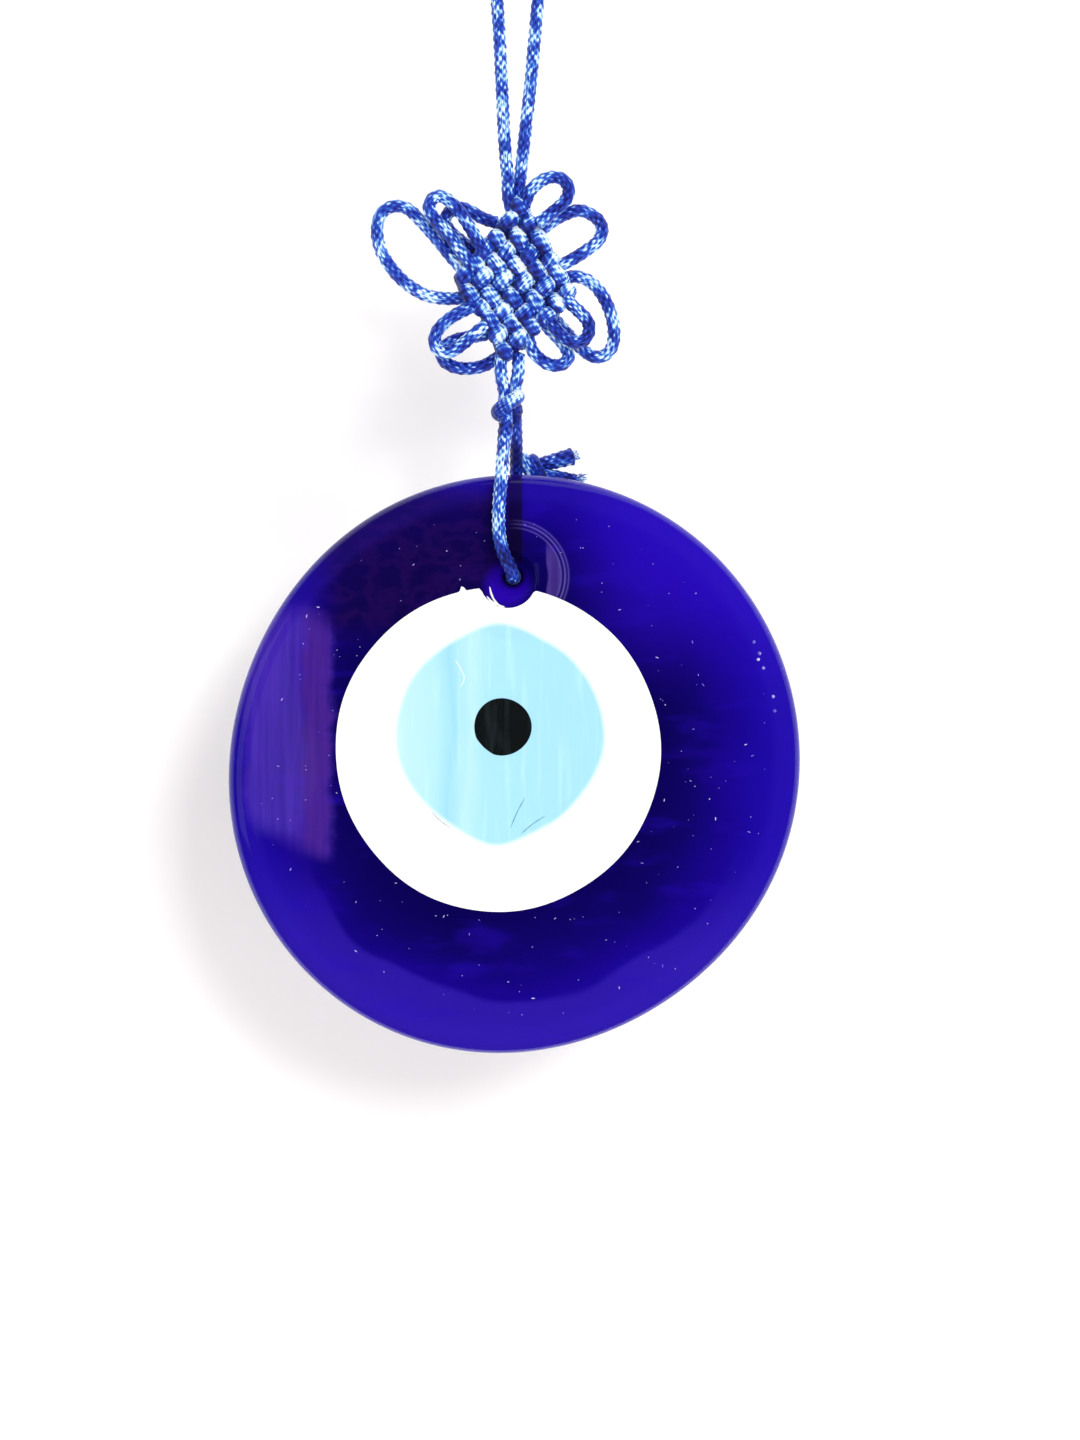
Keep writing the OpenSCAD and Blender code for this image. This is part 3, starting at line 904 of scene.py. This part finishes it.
def make_weave(material):
    """Two families of woven strands, a core between them painted dark as shade, and the stubs that
    the hanging loop runs into."""
    parts = [woven_strand(n, family) for family in ("right", "left") for n in range(WEAVE_COUNT)]
    # a core painted dark as shade, filling the gaps between the strands
    for left in np.linspace(0.1, 0.9, 5):
        core = [lattice(right, left) + np.array((0, 0.0002, 0)) for right in np.linspace(0.08, 0.92, 12)]
        parts.append(tube(smooth_line(core, 0.0004), shine=-0.5))
    for x, y, z in STUB_TOPS:
        stub = [(x, y, z), (x, y * 0.6, -0.0592), (x * 0.6 + 0.0004, 0, -0.0626)]
        parts.append(tube(smooth_line(stub), shine=0.1))
    piece = cord_piece("knot_weave_cord", parts, material, "knot_weave")
    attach(piece, "knot")


def make_collar(material):
    """The two neck strands and the overhand knot that gathers them."""
    for node, route, shine in NECK_STRANDS:
        start = (route[0][0], route[0][1] * 0.5, NECK_TOP_Z)
        line = smooth_line([start, *route])
        piece = cord_piece(f"{node}_cord", [tube(line, shine=shine)], material, node)
        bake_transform(piece)
    # shine and lit paint highlight and shade on each part of the knot
    parts = [
        tube(smooth_line(OVERHAND_BAND), hatch=0.8, shine=-0.02, lit=0.36, swell=1.16),
        tube(smooth_line(OVERHAND_TURN), hatch=0.6, shine=-0.08),
        tube(smooth_line(OVERHAND_LEFT), hatch=0.3, shine=0.16),
        tube(smooth_line(OVERHAND_RIGHT), hatch=0.3, shine=-0.1),
    ]
    knot = cord_piece("overhand_knot_cord", parts, material, "overhand_knot")
    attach(knot, "collar")


def wrap(across, down, radius_x, radius_y, start):
    """A cord's line a little over once round the sling's back strand, tilted up to the left."""
    angle = start + np.linspace(0, 2 * math.pi * 1.1, 44)
    x = radius_x * np.cos(angle)
    wound = np.column_stack([x, -radius_y * np.sin(angle), x * math.tan(math.radians(-62))])
    return smooth_line(TIE_OFF_AT + (across, 0, -down) + wound)


def anywhere():
    """A random step of up to 1 either way along each axis."""
    return np.array([random.uniform(-1, 1) for _ in range(3)])


def frayed_fibres(line, count, length, spread):
    """Thin loose fibres that fan out from a cord's cut end."""
    parts = []
    for _ in range(count):
        out = anywhere()
        begin = line[-1] + out * CORD_R * 0.55
        direction = line[-1] - line[-8] + spread * out
        tip = begin + direction / np.linalg.norm(direction) * length * random.uniform(0.6, 1)
        bend = (begin + tip) / 2 + spread * length * 0.25 * anywhere()
        fibre = smooth_line([begin, bend, tip], 0.0003)
        parts.append(tube(fibre, radius=0.00011, shine=0.35, around=6))
    return parts


def make_sling(material):
    """The cord through the disc's hole: its two strands, the knot that ties them and its tails."""
    front = smooth_line(FRONT_STRAND_ROUTE)
    # painted highlight on the front strand's upper stretch in front of the disc, and painted shade where
    # it runs through the hole
    light = 0.24 * smooth_step(front[:, 2], -0.124, -0.114) * (front[:, 1] < 0)
    in_hole = 1 - smooth_step(np.abs(front[:, 1]), 0.0018, 0.0034)
    front[:, 2] -= 0.00015 * in_hole
    strand = tube(front, shine=light - 0.06 - 0.4 * in_hole, swell=1 + 0.15 * in_hole)
    front_piece = cord_piece("front_strand_cord", [strand], material, "front_strand")
    back = smooth_line(BACK_STRAND_ROUTE)
    # painted shade: the back strand is darker, behind the disc
    strand = tube(back, shine=-0.2, lit=0.1)
    back_piece = cord_piece("back_strand_cord", [strand], material, "back_strand")
    for piece in (front_piece, back_piece):
        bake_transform(piece)

    knot_parts = [
        tube(wrap(-0.0007, 0.0003, 0.0009, 0.0011, 0), hatch=0.3, shine=0.02),
        tube(wrap(0.0009, 0.0004, 0.0008, 0.001, 2), hatch=0.3, shine=-0.06),
    ]
    knot = cord_piece("tie_off_knot_cord", knot_parts, material, "tie_off_knot")
    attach(knot, "sling")

    upper = smooth_line(UPPER_TAIL_ROUTE)
    thick = 1.1 + 0.26 * np.linspace(0, 1, len(upper))
    upper_parts = [tube(upper, shine=-0.02, swell=thick), *frayed_fibres(upper, 26, 0.0009, 0.0002)]
    upper_piece = cord_piece("upper_tail_cord", upper_parts, material, "upper_tail")
    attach(upper_piece, "sling")

    lower = smooth_line(LOWER_TAIL_ROUTE)
    lower = lower[lower[:, 0] < LOWER_TAIL_CUT_X]
    thin = 1 - 0.2 * np.linspace(0, 1, len(lower)) ** 2
    lower_parts = [tube(lower, swell=thin), *frayed_fibres(lower, 34, 0.0017, 0.0005)]
    lower_piece = cord_piece("lower_tail_cord", lower_parts, material, "lower_tail")
    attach(lower_piece, "sling")


# ---- Glass ----

def outline_r(direction):
    """The disc's radius in a direction from its middle."""
    return DISC_R + sum(height * np.cos(n * direction + phase) for n, height, phase in OUTLINE_WAVES)


def outline_slope(direction):
    """How fast that radius grows with the direction."""
    return sum(-n * height * np.sin(n * direction + phase) for n, height, phase in OUTLINE_WAVES)


def funnel_r(direction):
    """The funnel's mouth as seen from the hole, which sits off its middle."""
    off_u = FUNNEL_AT[0]
    off_v = FUNNEL_AT[1] - HOLE_V
    along = off_u * np.cos(direction) + off_v * np.sin(direction)
    across = off_u * np.sin(direction) - off_v * np.cos(direction)
    return along + np.sqrt(FUNNEL_R ** 2 - across ** 2)


def dome_w(r):
    """The front surface's low dome, r from the disc's middle."""
    return RIM_R + DOME_H * (1 - (r / (DISC_R - RIM_R)) ** 2)


def dish_w(rho):
    """The shallow dish pressed in round the hole, rho from it."""
    return dome_w(HOLE_V) - DISH_DEPTH * (1 - (rho / DISH_R) ** 2)


def front_w(u, v):
    """The front surface: the dome with the dish and the funnel pressed in, and faint ripples."""
    dome = np.maximum(dome_w(np.hypot(u, v)), RIM_R)
    dome = dome + RIPPLE_H * np.sin(u * 210 + 1) * np.cos(v * 190)
    rho = np.hypot(u, v - HOLE_V)
    dish = dish_w(rho)
    blue = smooth_step(np.hypot(u - WHITE_AT[0], v - WHITE_AT[1]), WHITE_R + 0.0001, WHITE_R + 0.0009)
    for ridge_r, height in DISH_RIDGES:
        dish = dish + blue * height * np.exp(-(((rho - ridge_r) / 0.00018) ** 2))
    mouth_r = funnel_r(np.arctan2(v - HOLE_V, u))
    mouth_w = dish_w(mouth_r)
    share = np.clip((rho - HOLE_R) / (mouth_r - HOLE_R), 0, None)
    funnel = FUNNEL_FLOOR_W + (mouth_w - FUNNEL_FLOOR_W) * share ** 0.75
    funnel = np.where(rho > mouth_r, mouth_w + (rho - mouth_r) * 3, funnel)
    return np.minimum(np.minimum(dome, dish), funnel)


def on_disc(u, v, w):
    """Disc coordinates as points of the ornament."""
    u, v, w = np.broadcast_arrays(u, v, w)
    return np.stack([DISC_AT[0] + u, DISC_AT[1] - w, DISC_AT[2] + v], axis=-1)


def from_hole(reach):
    """The point at its reach from the hole on each of the disc's rays."""
    return reach * np.cos(RAYS), HOLE_V + reach * np.sin(RAYS)


def reach_of_rays():
    """How far each ray from the hole runs before the rim's curve begins, by halving."""
    low = np.zeros(len(RAYS))
    high = np.full(len(RAYS), 2 * DISC_R)
    for _ in range(HALVINGS):
        reach = (low + high) / 2
        u, v = from_hole(reach)
        outside = np.hypot(u, v) > outline_r(np.arctan2(v, u)) - RIM_R
        high = np.where(outside, reach, high)
        low = np.where(outside, low, reach)
    return low


def square_to_outline(direction):
    """The direction that faces straight out of the disc's outline."""
    lean = -outline_slope(direction) / outline_r(direction)
    out_u = np.cos(direction) - lean * np.sin(direction)
    out_v = np.sin(direction) + lean * np.cos(direction)
    scale = np.hypot(out_u, out_v)
    return out_u / scale, out_v / scale


def make_disc(material):
    """The whole cobalt body: rings that run from the hole over the front, round the rim and back."""
    near_limit = 0.0112
    limit = reach_of_rays()
    rings = []
    ridge_lights = []
    rims = []

    def ring(u, v, w, ridge_light=0.0, rim=0.0):
        rings.append(on_disc(u, v, w))
        ridge_lights.append(np.broadcast_to(ridge_light, len(RAYS)))
        rims.append(np.broadcast_to(rim, len(RAYS)))

    # the hole's wall
    for w in (BACK_MOUTH_W, -0.0008, -0.0002):
        ring(*from_hole(HOLE_R), w)

    # the funnel and the dish, whose ridges get painted light on the right
    mouth = funnel_r(RAYS)
    right_side = smooth_step(np.cos(RAYS) * 0.9 + np.sin(RAYS) * 0.35, 0.2, 0.75)
    for rho in np.arange(HOLE_R, near_limit, 0.00014):
        near = 1 - smooth_step(rho, FUNNEL_R, FUNNEL_R + 0.002)
        reach = HOLE_R + (rho - HOLE_R) * (1 + near * ((mouth - HOLE_R) / (FUNNEL_R - HOLE_R) - 1))
        u, v = from_hole(reach)
        lines = sum(height / 0.00008 * np.exp(-(((rho - r) / 0.00014) ** 2)) for r, height in DISH_RIDGES)
        ring(u, v, front_w(u, v), ridge_light=right_side * min(1.0, lines) * 0.5)

    # the rest of the front, with painted light that grows towards the rim
    for share in np.linspace(0, 1, 76)[1:]:
        rho = near_limit + share * (limit - near_limit)
        u, v = from_hole(rho)
        ring(u, v, front_w(u, v), rim=0.1 * (1 - smooth_step(limit - rho, 0, 0.0026)))

    # the rounded rim, with painted light strongest along its outermost line
    edge_u, edge_v = from_hole(limit)
    out_u, out_v = square_to_outline(np.arctan2(edge_v, edge_u))
    for angle in np.radians(np.linspace(90, -90, 25)[1:]):
        out = RIM_R * math.cos(angle)
        lit = 0.1 + 0.5 * math.cos(angle) ** 12
        ring(edge_u + out * out_u, edge_v + out * out_v, RIM_R * math.sin(angle), rim=lit)

    # the back, faintly dented, and its mouth
    for share in np.linspace(1, 0, 50)[1:]:
        u, v = from_hole(BACK_MOUTH_R + share * (limit - BACK_MOUTH_R))
        dent = DENT_H * np.sin(u * 400 + 2 * np.cos(v * 170)) * np.cos(v * 330 + 1)
        flat = smooth_step(share, 0, 0.05) * (1 - smooth_step(share, 0.95, 1))
        ring(u, v, -RIM_R + dent * flat)
    for share in (0.66, 0.33):
        rho = HOLE_R + share * (BACK_MOUTH_R - HOLE_R)
        ring(*from_hole(rho), BACK_MOUTH_W + share * (-RIM_R - BACK_MOUTH_W))

    faces = ring_faces(len(rings), len(RAYS), closed=True)
    values = {"ridge_light": np.concatenate(ridge_lights), "rim": np.concatenate(rims)}
    glass_piece("cobalt_body", (np.vstack(rings), faces, values), material, "cobalt_glass", "cobalt_disc")


def glass_layer(name, centre, outline, proud, depth, material, slot, node, beyond=1.0):
    """A layer set in the front surface: a cap that follows the dome, its edge and its underside.
    beyond is how far past its outline the cap goes, where the edge melts into the layer below."""
    columns = 480
    innermost = 0.012
    turn = np.linspace(0, 2 * math.pi, columns, endpoint=False)
    limit = outline(turn)
    rings = []
    edges = []

    def ring(share, lift):
        u = centre[0] + limit * share * np.cos(turn)
        v = centre[1] + limit * share * np.sin(turn)
        rings.append(on_disc(u, v, front_w(u, v) + lift))
        edges.append(np.full(columns, share))

    melts = 0.6 if beyond > 1 else 0
    inner = np.linspace(innermost, 0.7, 40)
    outer = np.linspace(0.7, beyond, 70)
    for share in np.concatenate([inner, outer[1:-1]]):
        ring(share, proud * (1 - melts * smooth_step(share, 0.97, beyond)))
    ring(beyond - 0.0012, proud * (1 - melts) * 0.9)
    ring(beyond, proud * (1 - melts) * 0.4)
    for share in (beyond, 0.7, 0.35, innermost):
        ring(share, -depth)

    points = np.vstack(rings)
    first = len(points)
    top = on_disc(*centre, front_w(*centre) + proud)
    bottom = on_disc(*centre, front_w(*centre) - depth)
    faces = ring_faces(len(rings), columns)
    faces += fan(first, 0, columns, backwards=True)
    faces += fan(first + 1, first - columns, columns)
    values = {"edge": np.concatenate([*edges, [0, 0]])}
    glass_piece(name, (np.vstack([points, top, bottom]), faces, values), material, slot, node)


def white_outline(turn):
    """A circle with the funnel's bite at the top and a small spur to its left."""
    reach = np.full_like(turn, WHITE_R)
    reach += 0.00008 * np.cos(4 * turn + 1) + 0.00005 * np.cos(9 * turn)
    bite_u = FUNNEL_AT[0] - WHITE_AT[0]
    bite_v = FUNNEL_AT[1] - WHITE_AT[1]
    bite_r = FUNNEL_R + 0.00005
    along = bite_u * np.cos(turn) + bite_v * np.sin(turn)
    off = np.abs(bite_u * np.sin(turn) - bite_v * np.cos(turn))
    inside = off < bite_r
    near = along - np.sqrt(np.where(inside, bite_r ** 2 - off ** 2, 0))
    reach = np.where(inside & (along > 0), np.minimum(reach, near), reach)
    return reach + SPUR_H * np.clip(1 - np.abs(turn - SPUR_DIR) / SPUR_HALF, 0, 1)


def iris_outline(turn):
    """A circle with two blunt points, drawn a little square."""
    reach = np.full_like(turn, IRIS_R)
    for tip, tip_reach in IRIS_TIPS:
        away = np.hypot((turn - tip + math.pi) % (2 * math.pi) - math.pi, IRIS_BLUNT)
        half = math.acos(IRIS_R / tip_reach)
        reach = np.where(away < half, IRIS_R / np.cos(half - away), reach)
    return reach + 0.00012 * np.cos(4 * turn) + 0.00006 * np.cos(7 * turn + 1)


def pupil_outline(turn):
    """A circle, flattened at the lower left."""
    lower_left = math.radians(228)
    away = np.abs((turn - lower_left + math.pi) % (2 * math.pi) - math.pi)
    return PUPIL_R * (1 + 0.012 * np.cos(3 * turn)) - 0.0002 * (1 - smooth_step(away, 0.1, 0.5))


def dome_bump(u, v, radius, stretch=1.0, turn=0.0, height=0.5):
    """A small raised bead on the front surface."""
    sides = 8
    angle = np.linspace(0, 2 * math.pi, sides, endpoint=False)
    surface = front_w(u, v)
    rings = []
    for share, lift in ((1, -0.3), (0.95, 0.3), (0.55, 0.85)):
        along = radius * stretch * share * np.cos(angle)
        across = radius * share * np.sin(angle)
        du = along * math.cos(turn) - across * math.sin(turn)
        dv = along * math.sin(turn) + across * math.cos(turn)
        rings.append(on_disc(u + du, v + dv, surface + radius * height * lift))
    points = np.vstack([*rings, on_disc(u, v, surface + radius * height)])
    faces = ring_faces(len(rings), sides)
    faces += fan(len(points) - 1, len(points) - 1 - sides, sides)
    faces.append(tuple(range(sides - 1, -1, -1)))
    return points, faces, {}


def make_specks(material):
    """Dust and seeds scattered over the blue glass, and larger bubbles along the right edge."""
    parts = []
    while len(parts) < SPECK_COUNT:
        turn = random.uniform(0, 2 * math.pi)
        r = math.sqrt(random.uniform(0, 1)) * SPECK_REACH
        u = r * math.cos(turn)
        v = r * math.sin(turn)
        on_white = math.hypot(u - WHITE_AT[0], v - WHITE_AT[1]) < WHITE_R + 0.0007
        if on_white or math.hypot(u, v - HOLE_V) < 0.006:
            continue
        size = random.uniform(0.00004, 0.0001)
        parts.append(dome_bump(u, v, size, random.choice((1, 1, 1.4, 3.5)), random.uniform(0, 3.1)))
    for v, inset in EDGE_BUBBLES:
        turn = math.asin(v / DISC_R)
        u = (outline_r(turn) - inset) * math.cos(turn)
        parts.append(dome_bump(u, v, 0.00032, height=0.9))
    glass_piece("glass_specks", join_parts(parts), material, "cobalt_glass")


def hair(route_uv, width):
    """A thin thread that follows the front surface through (u, v) points."""
    route = [on_disc(u, v, front_w(u, v) + IRIS_PROUD) for u, v in route_uv]
    line = smooth_line(route, 0.0003)
    points, faces, _ = tube(line, radius=width, around=6, swell=round_ends(line, 0.0015))
    return points, faces, {}


def make_hairs(name, hairs, material, slot):
    glass_piece(name, join_parts([hair(*one) for one in hairs]), material, slot)


# ---- Making it ----

make_camera()
cord_material = satin_cord_material()
make_hanging_loop(cord_material)
make_weave(cord_material)
make_ears(cord_material)
make_collar(cord_material)
make_sling(cord_material)

white_glass = white_material()
make_disc(cobalt_material())
glass_layer(
    "white_layer_cap", WHITE_AT, white_outline, WHITE_PROUD, 0.0007,
    white_glass, "white_glass", "white_layer",
)
glass_layer(
    "light_blue_cap", IRIS_AT, iris_outline, IRIS_PROUD, 0.0004,
    iris_material(), "light_blue_glass", "light_blue_layer", beyond=1.06,
)
glass_layer(
    "black_pupil_cap", PUPIL_AT, pupil_outline, PUPIL_PROUD, 0.0003,
    pupil_material(), "black_glass", "black_pupil",
)
make_specks(speck_material())
make_hairs("iris_hairs", IRIS_HAIRS, hair_material(), "light_blue_glass")
make_hairs("iris_swirl", IRIS_SWIRL, white_glass, "white_glass")
make_hairs("white_sliver", WHITE_SLIVER, white_glass, "white_glass")

make_stage(stage_material())
make_lights()
make_world()
bpy.context.scene.view_settings.view_transform = "Standard"
